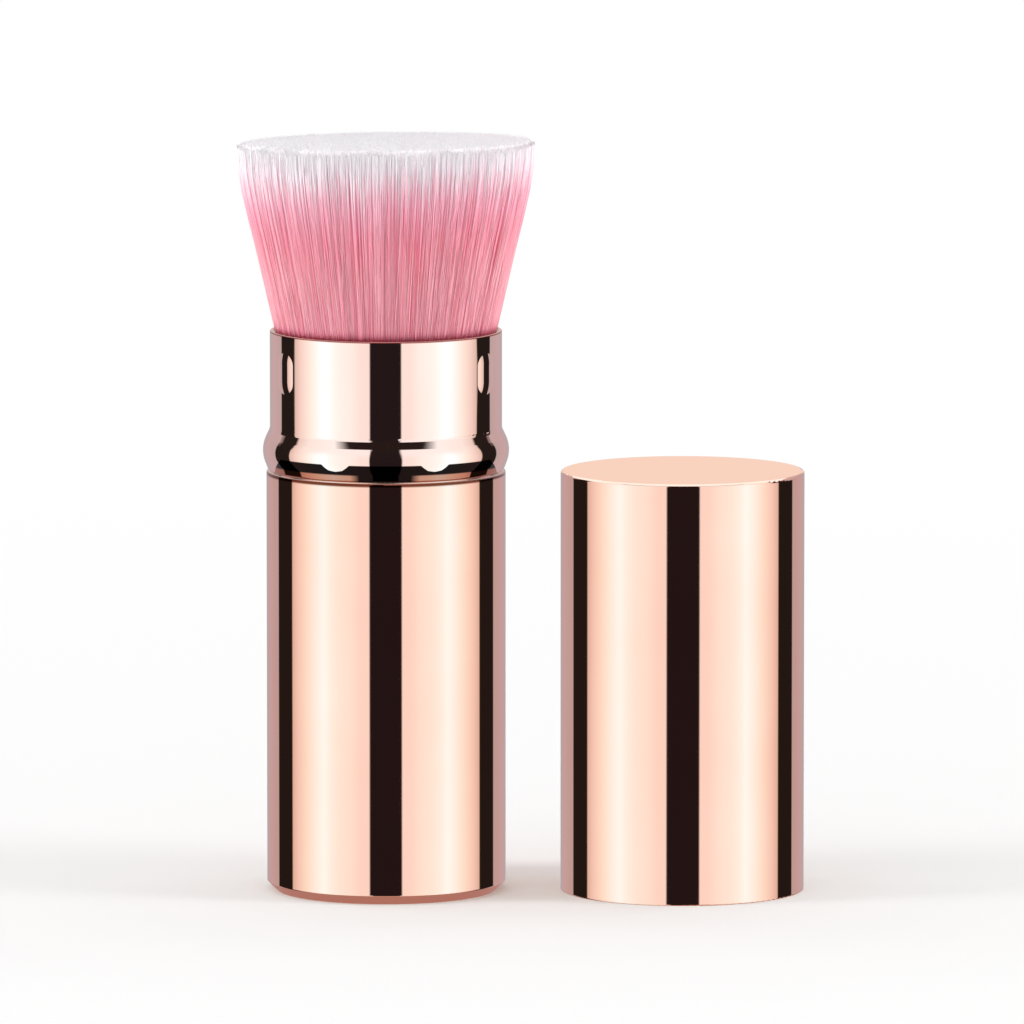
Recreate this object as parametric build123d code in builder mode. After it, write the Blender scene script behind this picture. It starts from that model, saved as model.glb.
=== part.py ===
# Retractable makeup brush: a handle tube that carries the tuft, a telescopic sleeve with a
# rolled grip bead that gathers the tuft, and a cap standing beside it, mouth down.
# Millimetres, +Z up, origin at the centre of the handle's foot.

import math
import os

from build123d import *

os.makedirs("parts", exist_ok=True)

# Handle shell
base_diameter = 30.0
base_height = 53.0
base_wall = 0.5
foot_chamfer = 1.2
foot_edge_rounding = 0.15
rim_rounding = 0.15

# Fits and shared sizes
press_gap = 0.05
running_gap = 0.05
loose_gap = 0.3
cut_overrun = 1.0
moulded_edge = 0.3

# Weight and plug in the foot
weight_thickness = 3.0
weight_chamfer = 0.3
plug_skirt = 1.6
plug_web = 1.6
plug_register_height = 2.0
post_boss_diameter = 8.0
post_boss_height = 6.0

# Liner
liner_wall = 0.75
key_rib_count = 3
key_rib_width = 1.2
key_rib_rise = 0.35
key_rib_angle = 90.0

# Bush and friction ring
bush_wall = 1.3
bush_height = 8.2
bush_below_rim = 0.8
ring_groove_height = 2.2
ring_groove_depth = 0.6
ring_groove_above_stop = 3.4
ring_rounding = 0.2
bush_lead_in = 0.5

# Guide tube and shoe
guide_wall = 0.4
shoe_height = 5.0
shoe_floor = 2.0
shoe_above_plug = 6.85
shoe_stop_rise = 0.4
shoe_lip = 0.2
key_slot_clearance = 0.4

# Collar and its bead
collar_inset = 0.45
collar_wall = 0.45
collar_rise = 17.7
bead_height = 5.3
bead_upper_slope = 25.0
bead_lower_slope = 21.0
bead_rounding = 4.0
bead_foot_inset = 0.25
bead_seat_gap = 0.1
crease_radius = 1.0
hem_radius = 0.4
hem_gap = 0.15

# Raised pips that hold the cap, each the crest of an upright round ended rib
pip_count = 3
pip_angle = 90.0
pip_crest_radius = 5.9
pip_straight_length = 2.2
pip_rise = 0.19
pip_below_rim = 4.75

# Collar core
core_above_bead = 3.4
core_lip = 1.5

# Tuft
tuft_exposed = 24.1
tuft_top_diameter = 37.4
tuft_shoulder_diameter = 36.2
tuft_rim_gap = 0.15
tuft_mouth_gap = 0.4
tuft_dome = 0.9
strand_count = 400
strand_root_width = 0.54
strand_rim_width = 0.7
strand_full_width = 0.92
strand_tip_width = 0.45
strand_taper_length = 5.0
strand_unevenness = 0.5

# Ferrule, resin and binding that hold the tuft's root
ferrule_clearance = 0.3
ferrule_wall = 0.35
ferrule_height = 12.5
ferrule_below_collar = 10.2
root_resin_height = 7.6
binding_height = 2.0
binding_thickness = 0.45
binding_turns = 5
root_slice_thickness = 1.3

# Post under the ferrule
post_column_wall = 1.4
post_rib_count = 6
post_rib_thickness = 1.2
post_flange_thickness = 1.6
post_spigot_diameter = 6.0
post_spigot_height = 3.4

# Cap
cap_clearance = 0.25
cap_height = 53.0
cap_mouth_wall = 0.5
cap_wall = 0.7
cap_edge_rounding = 0.4
cap_seat_gap = 0.9
cap_liner_wall = 0.45
cap_liner_roof = 0.8
cap_stand_gap = 6.9

# Heights and radii that follow
base_radius = base_diameter / 2
base_bore_radius = base_radius - base_wall
plug_radius = base_bore_radius - press_gap
plug_bottom = base_wall + press_gap
plug_chamfer = foot_chamfer - (2 - math.sqrt(2)) * (base_wall + press_gap)
weight_radius = plug_radius - plug_skirt - press_gap
weight_top = base_wall + weight_thickness
plug_web_bottom = weight_top + press_gap
plug_top = plug_web_bottom + plug_web
liner_bore_radius = plug_radius - liner_wall
bush_bore_radius = plug_radius - bush_wall
bush_top = base_height - bush_below_rim
bush_bottom = bush_top - bush_height
ring_bottom = bush_bottom + ring_groove_above_stop
guide_radius = bush_bore_radius - running_gap
guide_bore_radius = guide_radius - guide_wall
shoe_bottom = plug_top + plug_register_height + shoe_above_plug
shoe_top = shoe_bottom + shoe_height
sleeve_travel = bush_bottom - shoe_top
guide_bottom = shoe_bottom + shoe_floor
collar_radius = base_radius - collar_inset
collar_bore_radius = collar_radius - collar_wall
collar_top = base_height + collar_rise
pip_middle = collar_top - pip_below_rim
pip_axis_radius = collar_radius + pip_rise - pip_crest_radius
bead_foot_radius = base_radius - bead_foot_inset
bead_bottom = base_height + bead_seat_gap
bead_top = bead_bottom + bead_height
bead_upper_flare = math.tan(math.radians(bead_upper_slope))
bead_lower_flare = math.tan(math.radians(bead_lower_slope))
bead_flank_height = bead_upper_flare * bead_height + collar_radius - bead_foot_radius
bead_middle = bead_bottom + bead_flank_height / (bead_upper_flare + bead_lower_flare)
bead_corner_radius = bead_foot_radius + bead_lower_flare * (bead_middle - bead_bottom)
core_top = bead_top + core_above_bead
guide_top = core_top - core_lip
ferrule_radius = guide_bore_radius - ferrule_clearance
ferrule_bore_radius = ferrule_radius - ferrule_wall
ferrule_top = collar_top - ferrule_below_collar
ferrule_bottom = ferrule_top - ferrule_height
resin_radius = ferrule_bore_radius - press_gap
root_resin_bottom = ferrule_bottom + ferrule_wall
root_resin_top = root_resin_bottom + root_resin_height
binding_bore_radius = resin_radius - binding_thickness
binding_turn_height = binding_height / binding_turns
slice_radius = binding_bore_radius - press_gap
post_top = ferrule_bottom
post_column_bore_radius = post_boss_diameter / 2 + press_gap
post_column_radius = post_column_bore_radius + post_column_wall
post_spigot_radius = post_spigot_diameter / 2
post_rib_radius = guide_bore_radius - shoe_lip - loose_gap
tuft_top = collar_top + tuft_exposed
cap_mouth_radius = collar_radius + cap_clearance
cap_radius = cap_mouth_radius + cap_mouth_wall
cap_bore_radius = cap_radius - cap_wall
cap_liner_radius = cap_bore_radius - press_gap
cap_liner_bore_radius = cap_liner_radius - cap_liner_wall
cap_liner_depth = collar_top - bead_top + cap_seat_gap
cap_ceiling = cap_height - cap_wall - press_gap
cap_offset_x = base_radius + cap_radius + cap_stand_gap
cap_foot = Plane((cap_offset_x, 0, 0))


def finish(piece, name):
    # Names the piece and writes its file
    piece.part.label = name
    export_step(piece.part, f"parts/{name}.step")


def circle_edges_at(piece, radius, height):
    # The round edges of a piece that have this radius and height
    edges = piece.edges().filter_by(GeomType.CIRCLE)
    near = [e for e in edges if math.isclose(e.radius, radius, rel_tol=1e-4)]
    return [e for e in near if math.isclose(e.center().Z, height, rel_tol=1e-4)]


# Handle shell: a deep drawn cup with a chamfered foot
with BuildPart() as base_shell:
    with BuildSketch(Plane.XY):
        Circle(base_radius)
    extrude(amount=base_height)
    chamfer(base_shell.faces().sort_by(Axis.Z)[0].edges(), foot_chamfer)
    offset(amount=-base_wall, openings=base_shell.faces().sort_by(Axis.Z)[-1])
    fillet(base_shell.faces().sort_by(Axis.Z)[-1].edges(), rim_rounding)
    foot_edges = base_shell.faces().sort_by(Axis.Z)[0].edges()
    fillet(foot_edges + circle_edges_at(base_shell, base_radius, foot_chamfer), foot_edge_rounding)
finish(base_shell, "base_shell")

# Weight: a turned steel disc on the shell's floor
with BuildPart() as base_weight:
    with BuildSketch(Plane.XY.offset(base_wall)):
        Circle(weight_radius)
    extrude(amount=weight_thickness)
    chamfer(base_weight.edges().filter_by(GeomType.CIRCLE), weight_chamfer)
finish(base_weight, "base_weight")

# Plug: closes over the weight, seats the liner and carries the post on its boss
with BuildPart() as base_plug:
    with BuildSketch(Plane.XY.offset(plug_bottom)):
        Circle(plug_radius)
    extrude(amount=plug_top - plug_bottom)
    chamfer(base_plug.faces().sort_by(Axis.Z)[0].edges(), plug_chamfer)
    with BuildSketch(Plane.XY.offset(plug_bottom)):
        Circle(weight_radius + press_gap)
    extrude(amount=plug_web_bottom - plug_bottom, mode=Mode.SUBTRACT)
    with BuildSketch(Plane.XY.offset(plug_top)):
        Circle(liner_bore_radius - press_gap)
        Circle(liner_bore_radius - press_gap - liner_wall, mode=Mode.SUBTRACT)
    extrude(amount=plug_register_height)
    with BuildSketch(Plane.XY.offset(plug_top)):
        Circle(post_boss_diameter / 2)
    extrude(amount=post_boss_height)
    chamfer(base_plug.faces().sort_by(Axis.Z)[-1].edges(), moulded_edge)
    with BuildSketch(Plane.XY.offset(plug_top)):
        with PolarLocations(liner_bore_radius, key_rib_count, start_angle=key_rib_angle):
            Rectangle(2 * key_rib_rise + cut_overrun, key_rib_width + key_slot_clearance)
    extrude(amount=plug_register_height + cut_overrun, mode=Mode.SUBTRACT)
finish(base_plug, "base_plug")

# Liner: a moulded tube on the plug's shoulder, keyed by ribs along its bore
with BuildPart() as base_liner:
    with BuildSketch(Plane.XY.offset(plug_top)):
        Circle(plug_radius)
        Circle(liner_bore_radius, mode=Mode.SUBTRACT)
    extrude(amount=bush_bottom - plug_top)
    with BuildSketch(Plane.XY.offset(plug_top)):
        with PolarLocations(liner_bore_radius, key_rib_count, start_angle=key_rib_angle):
            Rectangle(2 * key_rib_rise, key_rib_width)
    extrude(amount=bush_bottom - plug_top)
finish(base_liner, "base_liner")

# Bush: guides the sleeve, and its lower face stops the shoe
with BuildPart() as mouth_bush:
    with BuildSketch(Plane.XY.offset(bush_bottom)):
        Circle(plug_radius)
        Circle(bush_bore_radius, mode=Mode.SUBTRACT)
    extrude(amount=bush_height)
    with BuildSketch(Plane.XY.offset(ring_bottom)):
        Circle(bush_bore_radius + ring_groove_depth)
    extrude(amount=ring_groove_height, mode=Mode.SUBTRACT)
    chamfer(circle_edges_at(mouth_bush, bush_bore_radius, bush_top), bush_lead_in)
finish(mouth_bush, "mouth_bush")

# Friction ring: round cornered silicone band in the bush's groove
with BuildPart() as friction_ring:
    with BuildSketch(Plane.XY.offset(ring_bottom + press_gap)):
        Circle(bush_bore_radius + ring_groove_depth - press_gap)
        Circle(bush_bore_radius - running_gap / 2, mode=Mode.SUBTRACT)
    extrude(amount=ring_groove_height - 2 * press_gap)
    fillet(friction_ring.edges().filter_by(GeomType.CIRCLE), ring_rounding)
finish(friction_ring, "friction_ring")

# Post: a hollow column with ribs, a flange under the ferrule and a spigot into the resin
with BuildPart() as brush_post:
    with BuildSketch(Plane.XY.offset(plug_top)):
        Circle(post_column_radius)
        with PolarLocations(post_rib_radius / 2, post_rib_count):
            Rectangle(post_rib_radius, post_rib_thickness)
    extrude(amount=post_top - plug_top)
    with BuildSketch(Plane.XY.offset(post_top - post_flange_thickness)):
        Circle(post_rib_radius)
    extrude(amount=post_flange_thickness)
    with BuildSketch(Plane.XY.offset(post_top)):
        Circle(post_spigot_radius)
    extrude(amount=post_spigot_height)
    chamfer(brush_post.faces().sort_by(Axis.Z)[-1].edges(), moulded_edge)
    with BuildSketch(Plane.XY.offset(plug_top)):
        Circle(post_column_bore_radius)
    extrude(amount=post_top - plug_top - 2 * post_flange_thickness, mode=Mode.SUBTRACT)
finish(brush_post, "brush_post")

# Ferrule: a drawn cup on the post's flange, its floor pierced for the spigot
with BuildPart() as ferrule:
    with BuildSketch(Plane.XY.offset(ferrule_bottom)):
        Circle(ferrule_radius)
    extrude(amount=ferrule_height)
    offset(amount=-ferrule_wall, openings=ferrule.faces().sort_by(Axis.Z)[-1])
    with BuildSketch(Plane.XY.offset(ferrule_bottom)):
        Circle(post_spigot_radius + press_gap)
    extrude(amount=ferrule_wall, mode=Mode.SUBTRACT)
    fillet(circle_edges_at(ferrule, ferrule_radius, ferrule_bottom), ferrule_wall)
finish(ferrule, "ferrule")

# Resin: cast in the cup round the spigot, under the tied root of the tuft
with BuildPart() as root_resin:
    with BuildSketch(Plane.XY.offset(root_resin_bottom)):
        Circle(resin_radius)
    extrude(amount=root_resin_height)
    with BuildSketch(Plane.XY.offset(root_resin_bottom)):
        Circle(post_spigot_radius + press_gap)
    spigot_above_floor = post_spigot_height - ferrule_wall
    extrude(amount=spigot_above_floor + press_gap, mode=Mode.SUBTRACT)
finish(root_resin, "root_resin")

# Binding: the thread wound round the root, as one grooved band
with BuildPart() as root_binding:
    with BuildSketch(Plane.XY.offset(root_resin_top)):
        Circle(resin_radius - binding_turn_height / 2)
        Circle(binding_bore_radius, mode=Mode.SUBTRACT)
    extrude(amount=binding_height)
    with BuildSketch(Plane.XZ):
        for turn in range(binding_turns):
            turn_height = root_resin_top + (turn + 1 / 2) * binding_turn_height
            with Locations((resin_radius - binding_turn_height / 2, turn_height)):
                Circle(binding_turn_height / 2)
    revolve(axis=Axis.Z)
finish(root_binding, "root_binding")

# Bristles: strands fan out from the tied root, each in its own upright plane through the axis
golden_angle = math.pi * (3 - math.sqrt(5))
square_corners = ((-1, -1), (1, -1), (1, 1), (-1, 1))
strand_root = root_resin_top + root_slice_thickness / 2
rim_reach = collar_bore_radius - tuft_rim_gap - strand_rim_width / 2
mouth_reach = ferrule_bore_radius - tuft_mouth_gap - strand_root_width / 2
flare_to_rim = (rim_reach - mouth_reach) / ferrule_below_collar
root_reach = mouth_reach - flare_to_rim * (ferrule_top - strand_root)
shoulder_reach = (tuft_shoulder_diameter - strand_full_width) / 2
edge_reach = (tuft_top_diameter - strand_tip_width) / 2


def strand_section(index, height, full_reach, width):
    # The corners of a strand's square section at this height, one side facing out
    share = math.sqrt((index + 1 / 2) / strand_count)
    angle = index * golden_angle
    outward = Vector(math.cos(angle), math.sin(angle), 0)
    centre = outward * (share * full_reach) + Vector(0, 0, height)
    middle = Plane(centre, x_dir=outward, z_dir=(0, 0, 1))
    half = width / 2
    return [middle.from_local_coords((x * half, y * half, 0)) for x, y in square_corners]


def strand_top(index):
    # The crown is slightly domed, and neighbouring tips differ a little
    edge_share = (index + 1 / 2) / strand_count
    uneven_share = (index * golden_angle) % 1
    return tuft_top - tuft_dome * edge_share - strand_unevenness * uneven_share


def make_strand(index):
    # One four-sided strand of flat faces that swells from its root and tapers at its tip
    top = strand_top(index)
    sections = [
        strand_section(index, strand_root, root_reach, strand_root_width),
        strand_section(index, collar_top, rim_reach, strand_rim_width),
        strand_section(index, top - strand_taper_length, shoulder_reach, strand_full_width),
        strand_section(index, top, edge_reach, strand_tip_width),
    ]
    faces = [Face(Wire.make_polygon(sections[0])), Face(Wire.make_polygon(sections[-1]))]
    for lower, upper in zip(sections, sections[1:]):
        for corner in range(len(square_corners)):
            along = (corner + 1) % len(square_corners)
            side = (lower[corner], lower[along], upper[along], upper[corner])
            faces.append(Face(Wire.make_polygon(side)))
    return Solid(Shell(faces))


strands = [make_strand(index) for index in range(strand_count)]
with BuildPart() as bristles:
    with BuildSketch(Plane.XY.offset(root_resin_top)):
        Circle(slice_radius)
    extrude(amount=root_slice_thickness)
    add(strands, clean=False)
finish(bristles, "bristles")

# Pips: the crests of upright ribs with round ends, as far as the middle of the collar's wall
with BuildPart() as pips:
    with PolarLocations(pip_axis_radius, pip_count, start_angle=pip_angle):
        with Locations((0, 0, pip_middle)):
            Cylinder(pip_crest_radius, pip_straight_length)
        with Locations((0, 0, pip_middle - pip_straight_length / 2)):
            Sphere(pip_crest_radius)
        with Locations((0, 0, pip_middle + pip_straight_length / 2)):
            Sphere(pip_crest_radius)
    with BuildSketch(Plane.XY.offset(bead_top)):
        Circle(collar_radius - collar_wall / 2)
    extrude(amount=collar_rise, mode=Mode.SUBTRACT)

# Collar: a drawn tube with a rolled bead, a turned-in hem and the raised pips
with BuildPart() as collar_shell:
    with BuildSketch(Plane.XZ) as collar_section:
        with BuildLine() as collar_outline:
            Polyline(
                (guide_radius + hem_gap, bead_bottom),
                (bead_foot_radius, bead_bottom),
                (bead_corner_radius, bead_middle),
                (collar_radius, bead_top),
                (collar_radius, collar_top),
            )
            bead_corner = (bead_corner_radius, bead_middle, 0)
            fillet(collar_outline.vertices().sort_by_distance(bead_corner)[0], bead_rounding)
            crease_corner = (collar_radius, bead_top, 0)
            fillet(collar_outline.vertices().sort_by_distance(crease_corner)[0], crease_radius)
            offset(amount=collar_wall, side=Side.LEFT)
        make_face()
        hem_corner = (bead_foot_radius, bead_bottom, 0)
        fillet(collar_section.vertices().sort_by_distance(hem_corner)[0], hem_radius)
        fillet(collar_section.vertices().group_by(Axis.Y)[-1], rim_rounding)
    revolve(axis=Axis.Z)
    add(pips.part)
finish(collar_shell, "collar_shell")

# Core: a moulded ring glued between the collar and the guide tube
with BuildPart() as collar_core:
    core_bottom = bead_bottom + collar_wall + press_gap
    with BuildSketch(Plane.XY.offset(core_bottom)):
        Circle(collar_bore_radius - press_gap)
        Circle(guide_radius + press_gap, mode=Mode.SUBTRACT)
    extrude(amount=core_top - core_bottom)
    with BuildSketch(Plane.XY.offset(guide_top + press_gap)):
        Circle(collar_bore_radius - press_gap)
        Circle(guide_bore_radius, mode=Mode.SUBTRACT)
    extrude(amount=core_lip - press_gap)
finish(collar_core, "collar_core")

# Guide tube: slides in the bush and round the ferrule
with BuildPart() as guide_tube:
    with BuildSketch(Plane.XY.offset(guide_bottom)):
        Circle(guide_radius)
        Circle(guide_bore_radius, mode=Mode.SUBTRACT)
    extrude(amount=guide_top - guide_bottom)
finish(guide_tube, "guide_tube")

# Shoe: a split skirt round the tube's end, with a floor under it and slots for the key ribs
with BuildPart() as slide_shoe:
    with BuildSketch(Plane.XY.offset(shoe_bottom)):
        Circle(guide_radius + shoe_stop_rise)
        Circle(guide_bore_radius - shoe_lip, mode=Mode.SUBTRACT)
    extrude(amount=shoe_height)
    with BuildSketch(Plane.XY.offset(guide_bottom)):
        Circle(guide_radius + press_gap / 2)
    extrude(amount=shoe_height - shoe_floor, mode=Mode.SUBTRACT)
    with BuildSketch(Plane.XY.offset(shoe_bottom)):
        with PolarLocations(liner_bore_radius, key_rib_count, start_angle=key_rib_angle):
            Rectangle(2 * (key_rib_rise + running_gap), key_rib_width + key_slot_clearance)
    extrude(amount=shoe_height, mode=Mode.SUBTRACT)
finish(slide_shoe, "slide_shoe")

# Cap: a drawn cup, stood mouth down, its mouth bored out to slide over the collar
with BuildPart() as cap_shell:
    with BuildSketch(cap_foot):
        Circle(cap_radius)
    extrude(amount=cap_height)
    offset(amount=-cap_wall, openings=cap_shell.faces().sort_by(Axis.Z)[0])
    with BuildSketch(cap_foot):
        Circle(cap_mouth_radius)
    extrude(amount=cap_liner_depth, mode=Mode.SUBTRACT)
    fillet(circle_edges_at(cap_shell, cap_radius, cap_height), cap_edge_rounding)
    fillet(cap_shell.faces().sort_by(Axis.Z)[0].edges(), rim_rounding)
finish(cap_shell, "cap_shell")

# Cap liner: a moulded cup above the space that takes the collar
with BuildPart() as cap_liner:
    with BuildSketch(cap_foot.offset(cap_liner_depth)):
        Circle(cap_liner_radius)
    extrude(amount=cap_ceiling - cap_liner_depth)
    with BuildSketch(cap_foot.offset(cap_liner_depth)):
        Circle(cap_liner_bore_radius)
    extrude(amount=cap_ceiling - cap_liner_roof - cap_liner_depth, mode=Mode.SUBTRACT)
finish(cap_liner, "cap_liner")
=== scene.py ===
# Retractable makeup brush with its cap beside it: finishes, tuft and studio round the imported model.
# Metres, +Z up, the brush's foot at the origin.
import math

import bpy
import numpy as np
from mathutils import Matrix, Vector


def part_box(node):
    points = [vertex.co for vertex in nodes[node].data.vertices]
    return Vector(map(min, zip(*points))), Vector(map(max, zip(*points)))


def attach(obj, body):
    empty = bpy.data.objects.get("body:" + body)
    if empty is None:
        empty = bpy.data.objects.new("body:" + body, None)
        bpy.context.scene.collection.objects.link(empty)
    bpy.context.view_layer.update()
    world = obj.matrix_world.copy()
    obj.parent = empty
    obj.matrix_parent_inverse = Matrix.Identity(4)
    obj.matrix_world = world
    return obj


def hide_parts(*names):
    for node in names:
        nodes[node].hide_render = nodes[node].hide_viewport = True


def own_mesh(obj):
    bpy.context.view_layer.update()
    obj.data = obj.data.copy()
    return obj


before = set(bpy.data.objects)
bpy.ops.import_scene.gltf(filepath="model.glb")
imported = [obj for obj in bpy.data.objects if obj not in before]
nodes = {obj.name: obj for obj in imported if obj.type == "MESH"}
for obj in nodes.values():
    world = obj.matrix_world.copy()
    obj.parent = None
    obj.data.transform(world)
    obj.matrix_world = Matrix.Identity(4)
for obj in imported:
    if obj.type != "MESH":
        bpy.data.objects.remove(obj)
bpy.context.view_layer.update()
mm = 0.001
halfTurn, quarterTurn = 180.0, 90.0  # degrees
print("frame loaded:", len(nodes), "nodes")


def toLinear(hexColour):
    # sRGB hex, as a colour picker shows it, to the linear values that shaders take
    channels = [int(hexColour[i:i + 2], 16) / 255 for i in (0, 2, 4)]
    linear = [c / 12.92 if c <= 0.04045 else ((c + 0.055) / 1.055) ** 2.4 for c in channels]
    return linear + [1.0]


def setNode(tree, node, settings=None, links=None):
    # settings go to the node's properties or sockets by name, links join a socket to (node, output)
    for name, value in (settings or {}).items():
        if hasattr(node, str(name)):
            setattr(node, name, value)
        else:
            node.inputs[name].default_value = value
    for name, (source, output) in (links or {}).items():
        tree.links.new(source.outputs[output], node.inputs[name])
    return node


def addNode(tree, kind, settings=None, links=None):
    return setNode(tree, tree.nodes.new(kind), settings, links)


def setRamp(node, stops):
    # stops are (place from 0 to 1, colour in hex or a plain grey)
    elements = node.color_ramp.elements
    while len(elements) > 1:
        elements.remove(elements[-1])
    for number, (place, tone) in enumerate(stops):
        stop = elements[0] if number == 0 else elements.new(place)
        stop.position = place
        stop.color = toLinear(tone) if isinstance(tone, str) else [tone] * 3 + [1.0]
    return node


def turnShare(tree, axes):
    # how far round the upright axis a place or a direction lies: 0 in front, 1 behind, and both
    # sides alike
    forward = addNode(tree, "ShaderNodeMath", {"operation": "MULTIPLY", 1: -1.0}, {0: (axes, "Y")})
    turn = addNode(tree, "ShaderNodeMath", {"operation": "ARCTAN2"},
                   {0: (axes, "X"), 1: (forward, 0)})
    side = addNode(tree, "ShaderNodeMath", {"operation": "ABSOLUTE"}, {0: (turn, 0)})
    return addNode(tree, "ShaderNodeMath", {"operation": "DIVIDE", 1: math.pi}, {0: (side, 0)})


# Camera: a long lens a little above the brush, square on
cameraSetup = {
    "lens": 504.0,             # millimetres, as the sensor
    "sensor": 36.0,
    "elevation": 7.0,          # degrees above the horizon
    "frameWidth": 128.5 * mm,  # what the square frame takes in at the brush
    "lookAt": (15.8 * mm, 0.0, 47.7 * mm),
    "clip": (0.1, 50.0),
}


def makeCamera(setup):
    camera = bpy.data.objects.new("camera", bpy.data.cameras.new("camera"))
    bpy.context.scene.collection.objects.link(camera)
    camera.data.lens = setup["lens"]
    camera.data.sensor_width = setup["sensor"]
    distance = setup["frameWidth"] * setup["lens"] / setup["sensor"]
    tilt = math.radians(setup["elevation"])
    away = Vector((0, -math.cos(tilt), math.sin(tilt)))
    camera.location = Vector(setup["lookAt"]) + away * distance
    camera.rotation_euler = (-away).to_track_quat("-Z", "Y").to_euler()
    camera.data.clip_start, camera.data.clip_end = setup["clip"]
    bpy.context.scene.camera = camera


makeCamera(cameraSetup)

# Studio: white paper all round, soft lights, and cards that show in the polished metal
studio = {
    "white": "FFFFFF",       # the backdrop, at a strength of 1
    "paperLight": 0.78,      # what the white surroundings give to matt surfaces
    "cardStrength": 1.9,     # the cards' brightest stop, against white paper
    "cards": [               # degrees round from the camera's side, colour of the card there
        (0.0, "191316"), (15.0, "191316"), (16.2, "C6C7CC"), (24.0, "C7C8CC"), (34.0, "C8D3D9"),
        (46.0, "C8D9E0"), (55.0, "C8E1EB"), (62.0, "C8EBFB"), (70.0, "C8E2EE"), (78.0, "C8D7DA"),
        (87.0, "C6C7C7"), (95.0, "BFB7B9"), (102.0, "AEA4A0"), (103.4, "191514"),
        (126.6, "191514"), (128.0, "938D93"), (148.0, "9A8B92"), (165.0, "8C878B"),
        (180.0, "8C878B"),
    ],
    "highCards": [           # the same higher up, where they blur together
        (0.0, "1A1416"), (14.0, "1A1416"), (17.0, "C8CED6"), (60.0, "C8D6DE"), (88.0, "C6CBD0"),
        (101.0, "B9B2B2"), (104.0, "1C1716"), (122.0, "1C1716"), (125.0, "A0949A"),
        (180.0, "A8A0A4"),
    ],
    # Lines round the studio: stops of (degrees round, degrees up), and the degrees that each blurs
    # over to either side
    "highLine": ([(0.0, 18.0), (180.0, 18.0)], 8.0),  # the high cards take over from the low ones
    "backLine": ([(0.0, 1.0), (180.0, 1.0)], 1.0),    # backTone starts
    "cardTop": ([(0.0, 39.5), (30.0, 39.3), (45.0, 38.9), (60.0, 38.9), (72.0, 41.0), (84.0, 75.0),
                 (180.0, 75.0)], 1.3),                # the cards end and edgeTone starts
    "roofLine": ([(0.0, 46.5), (78.0, 46.5), (94.0, 30.0), (180.0, 30.0)], 1.5),  # roofTone starts
    "floorLine": ([(0.0, -52.0), (118.0, -50.0), (131.0, -33.0), (150.0, -26.0), (160.0, -21.0),
                   (167.0, -15.5), (172.0, -12.0), (180.0, -10.5)], -2.0),  # the floor, below it
    "backFrom": (162.0, 169.2),       # degrees round, between which backTone fades in
    "backFloorFrom": (90.0, 108.0),   # and backFloor
    "backTone": "BFAEA3",    # what the cap's top mirrors
    "edgeTone": "1B1514",    # dark edge over the cards, which the bead's upper side mirrors
    "roofTone": "D8E6EF",
    "frontFloor": "A58B7C",  # what the bead's lower side mirrors at its ends
    "backFloor": "886A67",   # what the chamfered foot mirrors
    "softboxes": {           # place, size and power; low ones at the sides, for the upright fibres
        "keyLight": ((-0.7, -0.9, 1.5), 0.9, 1.2),
        "leftLight": ((-1.80, -0.48, 0.32), 0.7, 21.5),
        "rightLight": ((1.80, -0.48, 0.32), 0.7, 21.5),
        "leftRimLight": ((-1.62, 0.85, 0.30), 0.7, 4.0),
        "rightRimLight": ((1.62, 0.85, 0.30), 0.7, 4.0),
    },
    "floorRadius": 9.0,
    "floorColour": "FAFAFA",
    "floorRoughness": 0.9,
    "floorKeeps": (0.09, 0.45),  # metres out: shadow and shade up to here, plain white from there
}


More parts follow.
